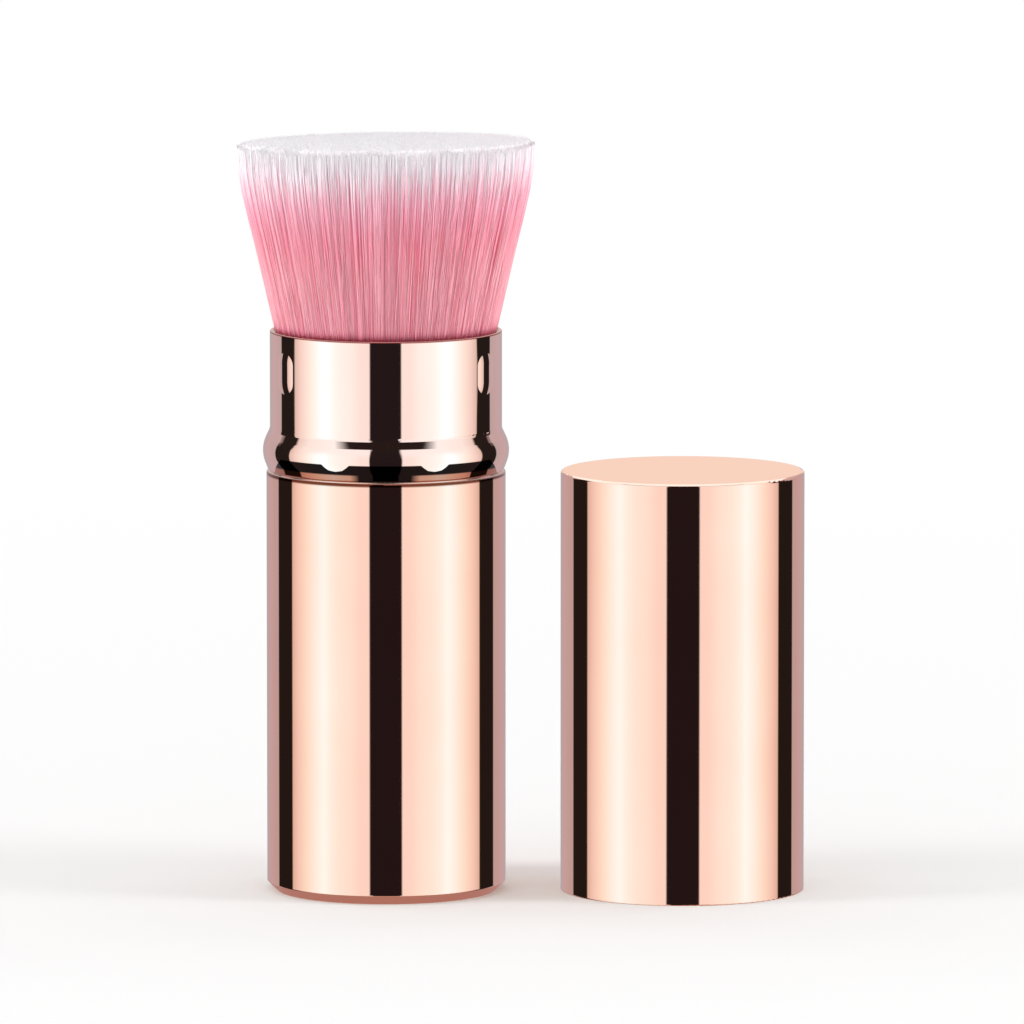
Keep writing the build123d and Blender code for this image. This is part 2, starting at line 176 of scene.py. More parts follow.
def makeWorld(setup):
    world = bpy.data.worlds.new("studio")
    bpy.context.scene.world = world
    world.use_nodes = True
    tree = world.node_tree
    tree.nodes.clear()
    way = addNode(tree, "ShaderNodeTexCoord")
    axes = addNode(tree, "ShaderNodeSeparateXYZ", None, {0: (way, "Generated")})
    share = turnShare(tree, axes)
    rise = addNode(tree, "ShaderNodeMath", {"operation": "ARCSINE"}, {0: (axes, "Z")})
    degrees = addNode(tree, "ShaderNodeMath", {"operation": "DEGREES"}, {0: (rise, 0)})

    def beyondLine(stops, blur):
        # 1 above the line and 0 below it, or the other way round where blur is below zero
        grey = addNode(tree, "ShaderNodeValToRGB", None, {0: (share, 0)})
        setRamp(grey, [(angle / halfTurn, (height + quarterTurn) / halfTurn)
                       for angle, height in stops])
        line = addNode(tree, "ShaderNodeMath",
                       {"operation": "MULTIPLY_ADD", 1: halfTurn, 2: -quarterTurn}, {0: (grey, 0)})
        over = addNode(tree, "ShaderNodeMath", {"operation": "SUBTRACT"},
                       {0: (degrees, 0), 1: (line, 0)})
        return addNode(tree, "ShaderNodeMapRange", {"From Min": -blur, "From Max": blur},
                       {0: (over, 0)})

    backSide, backFloor = (
        addNode(tree, "ShaderNodeMapRange",
                {"From Min": setup[name][0] / halfTurn, "From Max": setup[name][1] / halfTurn},
                {0: (share, 0)})
        for name in ("backFrom", "backFloorFrom"))
    back = addNode(tree, "ShaderNodeMath", {"operation": "MULTIPLY"},
                   {0: (beyondLine(*setup["backLine"]), 0), 1: (backSide, 0)})
    cards, highCards = (addNode(tree, "ShaderNodeValToRGB", None, {0: (share, 0)}) for _ in range(2))
    setRamp(cards, [(angle / halfTurn, colour) for angle, colour in setup["cards"]])
    setRamp(highCards, [(angle / halfTurn, colour) for angle, colour in setup["highCards"]])
    surround = addNode(tree, "ShaderNodeMixRGB", None,
                       {"Fac": (beyondLine(*setup["highLine"]), 0),
                        "Color1": (cards, 0), "Color2": (highCards, 0)})
    for where, tone in ((back, "backTone"), (beyondLine(*setup["cardTop"]), "edgeTone"),
                        (beyondLine(*setup["roofLine"]), "roofTone")):
        surround = addNode(tree, "ShaderNodeMixRGB", {"Color2": toLinear(setup[tone])},
                           {"Fac": (where, 0), "Color1": (surround, 0)})
    floor = addNode(tree, "ShaderNodeMixRGB", {"Color1": toLinear(setup["frontFloor"]),
                                               "Color2": toLinear(setup["backFloor"])},
                    {"Fac": (backFloor, 0)})
    surround = addNode(tree, "ShaderNodeMixRGB", None,
                       {"Fac": (beyondLine(*setup["floorLine"]), 0),
                        "Color1": (surround, 0), "Color2": (floor, 0)})
    seenInMetal = addNode(tree, "ShaderNodeBackground", {"Strength": setup["cardStrength"]},
                          {"Color": (surround, 0)})
    paper, white = (addNode(tree, "ShaderNodeBackground",
                            {"Color": toLinear(setup["white"]), "Strength": strength})
                    for strength in (setup["paperLight"], 1.0))
    ray = addNode(tree, "ShaderNodeLightPath")
    clear = addNode(tree, "ShaderNodeMath", {"operation": "MAXIMUM"},
                    {0: (ray, "Is Camera Ray"), 1: (ray, "Is Transmission Ray")})
    matt = addNode(tree, "ShaderNodeMixShader", None,
                   {0: (ray, "Is Glossy Ray"), 1: (paper, 0), 2: (seenInMetal, 0)})
    whole = addNode(tree, "ShaderNodeMixShader", None, {0: (clear, 0), 1: (matt, 0), 2: (white, 0)})
    addNode(tree, "ShaderNodeOutputWorld", None, {"Surface": (whole, 0)})


def makeSoftboxes(setup):
    for name, (place, size, power) in setup["softboxes"].items():
        lamp = bpy.data.objects.new(name, bpy.data.lights.new(name, "AREA"))
        bpy.context.scene.collection.objects.link(lamp)
        lamp.data.shape = "DISK"
        lamp.data.size = size
        lamp.data.energy = power
        lamp.location = place
        lamp.rotation_euler = Vector(place).to_track_quat("Z", "Y").to_euler()
        lamp.visible_glossy = False  # the cards alone show in the metal
        lamp.visible_camera = False


def newMaterial(name):
    material = bpy.data.materials.new(name)
    material.use_nodes = True
    return material, material.node_tree, material.node_tree.nodes["Principled BSDF"]


def makeFloor(setup):
    # white paper that fades to the backdrop's plain white away from the object
    bpy.ops.object.select_all(action="DESELECT")
    bpy.ops.mesh.primitive_circle_add(vertices=96, radius=setup["floorRadius"], fill_type="NGON")
    floor = bpy.context.active_object
    floor.name = "floor"
    material, tree, shader = newMaterial("white studio paper")
    setNode(tree, shader, {"Base Color": toLinear(setup["floorColour"]),
                           "Roughness": setup["floorRoughness"], "Specular IOR Level": 0.0})
    place = addNode(tree, "ShaderNodeTexCoord")
    away = addNode(tree, "ShaderNodeVectorMath", {"operation": "LENGTH"}, {0: (place, "Object")})
    near, far = setup["floorKeeps"]
    fade = addNode(tree, "ShaderNodeMapRange",
                   {"interpolation_type": "SMOOTHSTEP", "From Min": near, "From Max": far},
                   {0: (away, "Value")})
    ray = addNode(tree, "ShaderNodeLightPath")
    seen = addNode(tree, "ShaderNodeMath", {"operation": "MULTIPLY"},
                   {0: (fade, 0), 1: (ray, "Is Camera Ray")})
    white = addNode(tree, "ShaderNodeEmission",
                    {"Color": toLinear(setup["white"]), "Strength": 1.0})
    whole = addNode(tree, "ShaderNodeMixShader", None, {0: (seen, 0), 1: (shader, 0), 2: (white, 0)})
    setNode(tree, tree.nodes["Material Output"], None, {"Surface": (whole, 0)})
    floor.data.materials.append(material)
    floor.visible_glossy = False  # the metal sees the cards and their floor, not this one


makeWorld(studio)
makeSoftboxes(studio)
makeFloor(studio)
bpy.context.scene.view_settings.view_transform = "Standard"
print("studio ready")

noiseSpread = {"From Min": 0.3, "From Max": 0.7}  # a noise's values lie mostly between these


def grainOf(tree, size, detail=3.0, stretch=(1.0, 1.0, 1.0)):
    # even speckle with grains of about size millimetres, drawn out along an axis where stretch is
    # above 1
    place = addNode(tree, "ShaderNodeTexCoord")
    drawn = addNode(tree, "ShaderNodeMapping",
                    {"Scale": [1 / (size * mm * part) for part in stretch]},
                    {"Vector": (place, "Object")})
    return addNode(tree, "ShaderNodeTexNoise", {"Scale": 1.0, "Detail": detail},
                   {"Vector": (drawn, "Vector")})


def heightShare(tree, low, high):
    # 0 at a height of low millimetres, 1 at high
    place = addNode(tree, "ShaderNodeTexCoord")
    axes = addNode(tree, "ShaderNodeSeparateXYZ", None, {0: (place, "Object")})
    return addNode(tree, "ShaderNodeMapRange", {"From Min": low * mm, "From Max": high * mm},
                   {0: (axes, "Z")})


# Rose gold shells: the two tints that drift into each other, the tone of a painted reflection along
# the upper edge, how far below the top it starts and is full, in millimetres, and whether the bead's
# painted reflection and shade are on it. On the handle the edge band is a painted reflection and
# shade of the bead over it, on the collar a painted reflection of the bristles' crimson roots, and on
# the cap it keeps the tint.
shells = {
    "base_shell": {"tints": ("F5C8B2", "F7CCB6"), "rimReflectionTone": "6E3420", "rimReflectionBand": (0.50, 0.30),
                   "bead": False},
    "collar_shell": {"tints": ("F6D5C6", "F8D9CA"), "rimReflectionTone": "A04A44", "rimReflectionBand": (0.20, 0.10),
                     "bead": True},
    "cap_shell": {"tints": ("F5C8B2", "F7CCB6"), "rimReflectionTone": "F6CAB4", "rimReflectionBand": (0.45, 0.30),
                  "bead": False},
}

# How they are finished, in millimetres
buffing = {
    "tintSize": 14.0,
    "handledSize": 9.0,          # patches that fingers have left a little duller
    "roughness": (0.022, 0.04),
    "lineWidth": 0.25,           # buffing lines, coarser than real ones so that they show
    "lineLength": 30.0,          # times their width
    "lineDepth": 0.00002,
}

# The bead's underside carries a painted reflection and painted shade of the handle's rim close below
# it: dark, with a rose foot and two pale gaps in front. Heights are in millimetres over the foot of
# the brush, angles in degrees to either side of the front.
paintedUnderBead = {
    "heights": (53.0, 56.0),
    "upperEdge": [(0.0, 55.30), (17.0, 55.30), (18.5, 54.95), (20.5, 54.60), (24.0, 54.45),
                  (27.5, 54.60), (29.5, 54.95), (31.0, 55.30), (58.0, 55.30), (68.0, 53.60),
                  (72.0, 53.0), (180.0, 53.0)],
    "edgeBlur": 0.03,
    "paintedDarkTone": "1E1412",
    "paintedFootTone": "BF8068",
    "footTop": (53.95, 54.1),    # where the rose foot starts to fade upwards, and where it is gone
    "footFrom": (12.5, 17.0),    # between these angles it fades in; nearer the front it is dark too
}


def paintUnderBeadReflection(tree, look):
    # how much of the painted reflection shows at each place, and its tone there
    place = addNode(tree, "ShaderNodeTexCoord")
    axes = addNode(tree, "ShaderNodeSeparateXYZ", None, {0: (place, "Object")})
    share = turnShare(tree, axes)
    low, high = look["heights"]
    edge = addNode(tree, "ShaderNodeValToRGB", None, {0: (share, 0)})
    setRamp(edge, [(angle / halfTurn, (height - low) / (high - low))
                   for angle, height in look["upperEdge"]])
    under = addNode(tree, "ShaderNodeMath", {"operation": "SUBTRACT"},
                    {0: (edge, 0), 1: (heightShare(tree, low, high), 0)})
    blur = look["edgeBlur"] / (high - low)
    shows = addNode(tree, "ShaderNodeMapRange", {"From Min": -blur, "From Max": blur},
                    {0: (under, 0)})
    start, full = look["footFrom"]
    toSide = addNode(tree, "ShaderNodeMapRange",
                     {"From Min": start / halfTurn, "From Max": full / halfTurn}, {0: (share, 0)})
    fades, gone = look["footTop"]
    foot = addNode(tree, "ShaderNodeMath", {"operation": "MULTIPLY"},
                   {0: (toSide, 0), 1: (heightShare(tree, gone, fades), 0)})
    tone = addNode(tree, "ShaderNodeMixRGB", {"Color1": toLinear(look["paintedDarkTone"]),
                                              "Color2": toLinear(look["paintedFootTone"])},
                   {"Fac": (foot, 0)})
    return shows, tone


def polishedRoseGold(name, look):
    # Aluminium, buffed and anodised rose gold: a clean mirror with a warm tint, faintly uneven where
    # it is handled, with fine buffing lines round it and a band of painted reflection along its upper
    # edge
    material, tree, shader = newMaterial(
        "polished rose gold anodised aluminium, " + name.replace("_", " "))
    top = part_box(name)[1].z / mm
    outer, inner = look["rimReflectionBand"]
    # the band along the upper edge that carries the painted reflection
    rim = heightShare(tree, top - outer, top - inner)
    cloud = addNode(tree, "ShaderNodeValToRGB", None,
                    {0: (grainOf(tree, buffing["tintSize"]), "Fac")})
    setRamp(cloud, list(zip(noiseSpread.values(), look["tints"])))
    colour = addNode(tree, "ShaderNodeMixRGB", {"Color2": toLinear(look["rimReflectionTone"])},
                     {"Fac": (rim, 0), "Color1": (cloud, 0)})
    # the painted reflection and shade under the bead
    if look["bead"]:
        shows, tone = paintUnderBeadReflection(tree, paintedUnderBead)
        colour = addNode(tree, "ShaderNodeMixRGB", None,
                         {"Fac": (shows, 0), "Color1": (colour, 0), "Color2": (tone, 0)})
    smooth, dull = buffing["roughness"]
    handled = addNode(tree, "ShaderNodeMapRange", {**noiseSpread, "To Min": smooth, "To Max": dull},
                      {0: (grainOf(tree, buffing["handledSize"], 4.0), "Fac")})
    length = buffing["lineLength"]
    lines = grainOf(tree, buffing["lineWidth"], 2.0, (length, length, 1.0))
    bump = addNode(tree, "ShaderNodeBump", {"Distance": buffing["lineDepth"] * mm},
                   {"Height": (lines, "Fac")})
    setNode(tree, shader, {"Metallic": 1.0},
            {"Base Color": (colour, 0), "Roughness": (handled, 0), "Normal": (bump, 0)})
    return material


# Finishes of the pieces inside. flow carries the colour, relief the gloss and the bump. Each gives
# its grain's size in millimetres, its detail, and how far it is drawn out along x, y and z. depth
# is the bump's, in millimetres.
innerFinishes = {
    # Aluminium tube, drawn and degreased: bright, with fine lines along the draw
    "drawn bright aluminium": {
        "pieces": ("ferrule",), "metallic": 1.0, "roughness": (0.2, 0.36), "depth": 0.002,
        "tones": [(0.3, "CDD0D3"), (0.7, "E9EAEC")],
        "flow": (0.18, 3.0, (1.0, 1.0, 60.0)), "relief": (0.18, 3.0, (1.0, 1.0, 60.0)),
    },
    # Aluminium tube, bead blasted fine and anodised rose gold: an even satin sheen that hides
    # sliding marks, with faint short lines along the slide
    "satin rose gold anodised aluminium": {
        "pieces": ("guide_tube",), "metallic": 1.0, "roughness": (0.25, 0.29), "depth": 0.002,
        "tones": [(0.3, "E6B39D"), (0.7, "EBBAA5")],
        "flow": (0.2, 2.0, (1.0, 1.0, 25.0)), "relief": (0.12, 2.0),
    },
    # Bar steel, turned and zinc plated: a grey blue cast and tool lines round it
    "zinc plated turned steel": {
        "pieces": ("base_weight",), "metallic": 1.0, "roughness": (0.26, 0.42), "depth": 0.006,
        "tones": [(0.3, "A9AFB5"), (0.54, "C2C5C6"), (0.7, "C9C7BB")],
        "flow": (6.0,), "relief": (0.2, 2.0, (40.0, 40.0, 1.0)),
    },
    # Injection moulded: the tool's spark eroded grain leaves these matt, with a slight drift in
    # colour from the flow
    "moulded white ABS": {
        "pieces": ("base_plug", "base_liner", "brush_post", "collar_core", "cap_liner"),
        "metallic": 0.0, "roughness": (0.42, 0.54), "depth": 0.01,
        "tones": [(0.3, "E9E6DF"), (0.7, "F4F2ED")],
        "flow": (7.0, 2.0, (1.0, 1.0, 3.0)), "relief": (0.3, 2.0),
    },
    "moulded dark acetal": {
        "pieces": ("mouth_bush", "slide_shoe"),
        "metallic": 0.0, "roughness": (0.34, 0.46), "depth": 0.006,
        "tones": [(0.3, "1F1D1D"), (0.7, "2B2828")],
        "flow": (7.0, 2.0, (1.0, 1.0, 3.0)), "relief": (0.25, 2.0),
    },
    "moulded silicone rubber": {
        "pieces": ("friction_ring",),
        "metallic": 0.0, "roughness": (0.60, 0.72), "depth": 0.004,
        "tones": [(0.3, "857F7C"), (0.7, "948E8A")],
        "flow": (7.0, 2.0, (1.0, 1.0, 3.0)), "relief": (0.15, 2.0),
    },
}


def innerFinish(name, look):
    material, tree, shader = newMaterial(name)
    flow, relief = grainOf(tree, *look["flow"]), grainOf(tree, *look["relief"])
    colour = addNode(tree, "ShaderNodeValToRGB", None, {0: (flow, "Fac")})
    setRamp(colour, look["tones"])
    smooth, rough = look["roughness"]
    gloss = addNode(tree, "ShaderNodeMapRange", {**noiseSpread, "To Min": smooth, "To Max": rough},
                    {0: (relief, "Fac")})
    bump = addNode(tree, "ShaderNodeBump", {"Distance": look["depth"] * mm},
                   {"Height": (relief, "Fac")})
    setNode(tree, shader, {"Metallic": look["metallic"]},
            {"Base Color": (colour, 0), "Roughness": (gloss, 0), "Normal": (bump, 0)})
    return material


# Resin that holds the bristles' root, in millimetres
resin = {
    "bubbles": 0.6,
    "tones": [(0.0, "F0DDB4"), (0.12, "D9B06C"), (1.0, "C4924A")],  # from a bubble's middle outwards
    "smears": 2.0,
    "roughness": (0.08, 0.2),
    "glow": 0.3,
    "glowDepth": (2.0, 1.2, 0.5),  # of red, green and blue light
}


def castResin(look):
    # Epoxy, poured and set amber: glossy, with tiny bubbles under the skin
    material, tree, shader = newMaterial("cast amber epoxy")
    place = addNode(tree, "ShaderNodeTexCoord")
    bubbles = addNode(tree, "ShaderNodeTexVoronoi", {"Scale": 1 / (look["bubbles"] * mm)},
                      {"Vector": (place, "Object")})
    colour = addNode(tree, "ShaderNodeValToRGB", None, {0: (bubbles, "Distance")})
    setRamp(colour, look["tones"])
    smooth, rough = look["roughness"]
    gloss = addNode(tree, "ShaderNodeMapRange", {**noiseSpread, "To Min": smooth, "To Max": rough},
                    {0: (grainOf(tree, look["smears"]), "Fac")})
    setNode(tree, shader, {"Subsurface Weight": look["glow"],
                           "Subsurface Radius": [depth * mm for depth in look["glowDepth"]]},
            {"Base Color": (colour, 0), "Roughness": (gloss, 0)})
    return material


# Thread wound round the root, in millimetres
thread = {
    "width": 0.3,
    "ridge": 0.06,
    "wander": 0.4,
    # painted shade: the darker tone between two turns
    "tones": [(0.0, "BDB5A6"), (0.35, "E2DCD0"), (1.0, "F1EDE4")],  # from between two turns outwards
    "roughness": 0.75,
    "sheen": 0.2,
}


def woundThread(look):
    # Polyester thread, wound tight and close: fine ridges round it, with a soft dry look and painted
    # shade between the turns
    material, tree, shader = newMaterial("wound polyester thread")
    place = addNode(tree, "ShaderNodeTexCoord")
    waveTurn = 20  # radians that the wave goes through in a unit at a scale of 1
    turns = addNode(tree, "ShaderNodeTexWave",
                    {"bands_direction": "Z", "Distortion": look["wander"],
                     "Scale": 2 * math.pi / (waveTurn * look["width"] * mm)},
                    {"Vector": (place, "Object")})
    colour = addNode(tree, "ShaderNodeValToRGB", None, {0: (turns, "Fac")})
    setRamp(colour, look["tones"])
    bump = addNode(tree, "ShaderNodeBump", {"Distance": look["ridge"] * mm},
                   {"Height": (turns, "Fac")})
    setNode(tree, shader, {"Roughness": look["roughness"], "Sheen Weight": look["sheen"]},
            {"Base Color": (colour, 0), "Normal": (bump, 0)})
    return material


# Bristles: their dye from the collar's rim (0) to the tip (1), of the deepest and the palest fibres;
# the dark crimson stops up to 0.035 are painted shade where the tuft goes down into the collar's rim
bristle = {
    # the crimson at the foot of both ramps is painted shade at the collar's rim
    "deep": [(0.0, "8A0F2B"), (0.008, "96162F"), (0.018, "B8405A"), (0.035, "D8627C"),
             (0.06, "E46C84"), (0.30, "EC7289"), (0.52, "F26886"), (0.62, "F27A9A"),
             (0.74, "F8A0B8"), (0.84, "FDD6E2"), (0.91, "FFF2F8"), (1.0, "FAF7FB")],
    "pale": [(0.0, "A8283F"), (0.008, "B43850"), (0.018, "D87286"), (0.035, "F4A2B0"),
             (0.06, "FDB8C2"), (0.30, "FEC0C9"), (0.52, "FFB6C3"), (0.62, "FFBCCC"),
             (0.74, "FFCAD8"), (0.84, "FFEAF2"), (0.91, "FFFAFD"), (1.0, "FCFAFD")],
    "roughness": (0.38, 0.55),   # of the deepest and of the palest
    "specular": 0.35,
    "sheen": 0.5,
    "sheenRoughness": 0.4,
}


def dyedBristle(look):
    # Taklon, a drawn polyester fibre, dip dyed: a soft satin pink that fades to undyed white tips,
    # with the pale glow of fine clear fibres at the edges
    material, tree, shader = newMaterial("dip dyed synthetic bristle")
    reach, tone = (addNode(tree, "ShaderNodeAttribute", {"attribute_name": name})
                   for name in ("reach", "tone"))
    deep, pale = (setRamp(addNode(tree, "ShaderNodeValToRGB", None, {0: (reach, "Fac")}), look[name])
                  for name in ("deep", "pale"))
    colour = addNode(tree, "ShaderNodeMixRGB", None,
                     {"Fac": (tone, "Fac"), "Color1": (deep, 0), "Color2": (pale, 0)})
    smooth, rough = look["roughness"]
    satin = addNode(tree, "ShaderNodeMapRange", {"To Min": smooth, "To Max": rough},
                    {0: (tone, "Fac")})
    setNode(tree, shader, {"Specular IOR Level": look["specular"], "Sheen Weight": look["sheen"],
                           "Sheen Roughness": look["sheenRoughness"]},
            {"Base Color": (colour, 0), "Roughness": (satin, 0)})
    return material


# Tuft: whole fibres round the outside, shorter ones inside that show from above, over a packed core.
# It is cut in wedges, each a piece of its own on the base.
# Lengths are in millimetres and angles in radians. Shares of the radius are 0 at the axis, shares
# of the height 0 at the collar's rim.
tuft = {
    "seed": 11,
    "wedges": 16,
    "keep": 0.685,           # share of the radius left when the sleeve is right up
    "outline": [(-10.0, 12.2), (0.0, 13.95), (4.3, 14.95), (9.3, 16.1), (14.3, 17.35),
                (18.0, 18.2), (21.0, 18.65), (24.1, 18.8)],  # height above the rim, radius
    # The cut top
    "proud": 0.6,            # added to the CAD tuft's height
    "dome": 0.5,             # how far the edge lies under the middle
    "edgeRounding": 0.5,     # and what its rounding takes off besides
    "roundedFrom": 0.94,     # share of the radius
    "lean": 0.011,           # it falls this much for each millimetre to the left
    "tilt": 0.035,           # and this much for each to the back
    "unevenTips": 0.45,      # most that a fibre ends below it
    "unevenShape": (1.6, 1.8),   # of the beta spread in between
    # The fibres
    "wholeFibres": 3300,
    "innerFibres": 17000,
    "outerShare": 0.985,     # whole fibres start at this share of the radius
    "innerLength": 2.0,      # the others start this far under the cut
    "fibreWidth": 0.085,     # real ones of 0.07 would not show
    "tipWidth": 0.045,
    "taperFrom": 0.9,        # share of the length
    "widthSpread": (0.7, 1.2),
    # Their sections: 1 is the tip, and 0 the rim for whole fibres and the start for the others
    "wholeSections": (-0.36, 0.0, 0.03, 0.15, 0.3, 0.45, 0.6, 0.75, 0.88, 0.985, 1.0),
    "innerSections": (0.0, 0.8, 1.0),
    # Their way
    "clumps": 420,
    "clumpPull": 0.2,        # most of the way to a clump's middle that a fibre bends
    "clumpMixing": 0.25,     # how far off its own clump may be, in clumps
    "pullBend": 2.4,         # the bend is this arc of a sine from rim to tip
    "stray": 0.016,          # how far a fibre's tip goes round
    "strayMore": 0.045,      # and how much further that of some
    "strayMoreShare": 0.22,
    "drift": 0.012,          # in or out half way up, as a share of the radius
    "driftBend": 3.0,
    "widest": 0.995,         # share of the radius that none passes
    "fibreRoll": 97.0,       # so that each is turned its own way
    # Their dye
    "toneShape": (3.0, 2.6),     # of the beta spread from deep to pale
    "deepest": (0.07, 0.1),      # share of them with a tone near the end, and how near it
    "palest": (0.08, 0.1),
    "dyeSpread": 0.055,      # how unevenly it stops, as a share of the height
    "dyeSpreadFull": 0.4,    # height from which it does so in full
    "dyeLean": 0.0018,       # it stops this much lower for each millimetre to the left
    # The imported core
    "coreShare": 0.985,      # of the radius
    "coreHeights": (-9.5, 0.0, 4.3, 9.3, 14.3, 18.0),  # rings up its side
    "coreShoulder": (0.94, 1.3),  # share of its flat top, and how far under the cut its side ends
    "coreInner": 0.01,       # share of the radius of the innermost ring
    "coreRows": 60,          # rings on its top
    "coreColumns": 40,       # streaks across each wedge's core
    "coreBelowTip": 0.5,
    "coreBumps": 0.14,       # how far its top goes up and down
    "coreCell": 0.25,        # from tip to tip
    "coreGrid": 2.2,         # width of the field of tips, in radii of the tuft
    "coreReach": (0.90, 1.0),    # how far up the dye its tips are
    # painted shade: the core's side is deeper and redder than the fibres, for the shade in the gaps
    # between them
    "coreShadeToneShape": (2.5, 5.0),  # its side is deeper than the fibres over it
    "coreFlatTone": 0.5,     # of the two points on its axis
}
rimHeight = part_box("collar_shell")[1].z / mm
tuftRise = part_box("bristles")[1].z / mm - rimHeight
topRadius = tuft["outline"][-1][1]


def tuftRadius(rise):
    heights, radii = zip(*tuft["outline"])
    return np.interp(rise, heights, radii)


def smoothStep(low, high, value):
    t = np.clip((value - low) / (high - low), 0, 1)
    return t * t * (3 - 2 * t)


def topRise(share, angle):
    # height of the cut top over the rim: a slight dome with a soft shoulder
    x, y = (share * part * topRadius for part in (np.cos(angle), np.sin(angle)))
    middle = tuftRise + tuft["proud"] - tuft["lean"] * (topRadius - x) - tuft["tilt"] * y
    rounding = tuft["edgeRounding"] * smoothStep(tuft["roundedFrom"], 1.0, share)
    return middle - tuft["dome"] * share ** 2 - rounding


def fibrePaths(rng, share, angle, start, along):
    # centre lines up to the cut top, drawn together in clumps about half way; along is where each
    # fibre has a section, 0 at the height of start and 1 at the tip
    count = len(share)
    top = topRise(share, angle) - tuft["unevenTips"] * rng.beta(*tuft["unevenShape"], count)
    rise = start[:, None] + (top - start)[:, None] * along
    clump = 2 * math.pi / tuft["clumps"]
    home = np.round(angle / clump + rng.normal(0, tuft["clumpMixing"], count)) * clump - angle
    pull = home * tuft["clumpPull"] * rng.random(count)
    stray = rng.normal(0, tuft["stray"], count)
    stray += rng.normal(0, tuft["strayMore"], count) * (rng.random(count) < tuft["strayMoreShare"])
    height = np.clip(rise / tuftRise, 0, 1)
    turn = (angle[:, None] + pull[:, None] * np.sin(height * tuft["pullBend"])
            + stray[:, None] * height)
    drift = rng.normal(0, tuft["drift"], count)[:, None] * np.sin(height * tuft["driftBend"])
    radius = tuftRadius(rise) * np.clip(share[:, None] + drift, 0, tuft["widest"])
    return np.stack([radius * np.cos(turn), radius * np.sin(turn), rise + rimHeight], axis=2)


def fibreDye(rng, share, angle):
    # each fibre's tone, from 0 for deep to 1 for pale, and how far up its dye stops
    count = len(share)
    tone = rng.beta(*tuft["toneShape"], count)
    many, near = tuft["deepest"]
    tone = np.where(rng.random(count) < many, rng.random(count) * near, tone)
    many, near = tuft["palest"]
    tone = np.where(rng.random(count) < many, 1 - near + rng.random(count) * near, tone)
    x = share * np.cos(angle) * topRadius
    return tone, rng.normal(0, tuft["dyeSpread"], count) - tuft["dyeLean"] * x


def fibreMesh(paths, widths, tone, dye):
    # three sided fibres, each closed, tapering to a point
    count, sections, _ = paths.shape
    rings = sections - 1
    corner = np.arange(3) * 2 * math.pi / 3 + (tone * tuft["fibreRoll"])[:, None]
    offsets = np.stack([np.cos(corner), np.sin(corner), corner * 0], axis=2)[:, None]
    bodies = paths[:, :rings, None, :] + offsets * (widths[:, :rings, None, None] / 2)
    points = np.concatenate([bodies.reshape(count, rings * 3, 3), paths[:, -1:, :]], axis=1)
    each = rings * 3 + 1
    sides = []
    for ring in range(rings - 1):
        for side in range(3):
            a, b = ring * 3 + side, ring * 3 + (side + 1) % 3
            sides.append((a, b, b + 3, a + 3))
    last = (rings - 1) * 3
    ends = [(last + side, last + (side + 1) % 3, each - 1) for side in range(3)] + [(2, 1, 0)]
    first = (np.arange(count) * each)[:, None, None]
    faces = (np.array(sides)[None] + first).reshape(-1, 4).tolist()
    faces += (np.array(ends)[None] + first).reshape(-1, 3).tolist()
    height = (points[:, :, 2] - rimHeight) / tuftRise
    reach = height + dye[:, None] * np.clip(height / tuft["dyeSpreadFull"], 0, 1)
    across = np.tile(np.append(np.tile([-1.0, 0.0, 1.0], rings), 0.0), count)
    return {"points": points.reshape(-1, 3), "faces": faces, "smooth": [True] * len(faces),
            "reach": reach.ravel(), "tone": np.repeat(tone, each), "across": across}


def atPlace(tips, x, y):
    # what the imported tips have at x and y: height, tone and dye, from 0 to 1, in soft square cells
    side = tips.shape[1]
    inside = side - 1.001  # so that the next cell is still there
    across, along = (np.clip(way / tuft["coreCell"] + side / 2, 0, inside) for way in (x, y))
    column, row = across.astype(int), along.astype(int)
    right, up = across - column, along - row
    near = tips[:, row, column] * (1 - right) + tips[:, row, column + 1] * right
    far = tips[:, row + 1, column] * (1 - right) + tips[:, row + 1, column + 1] * right
    return near * (1 - up) + far * up


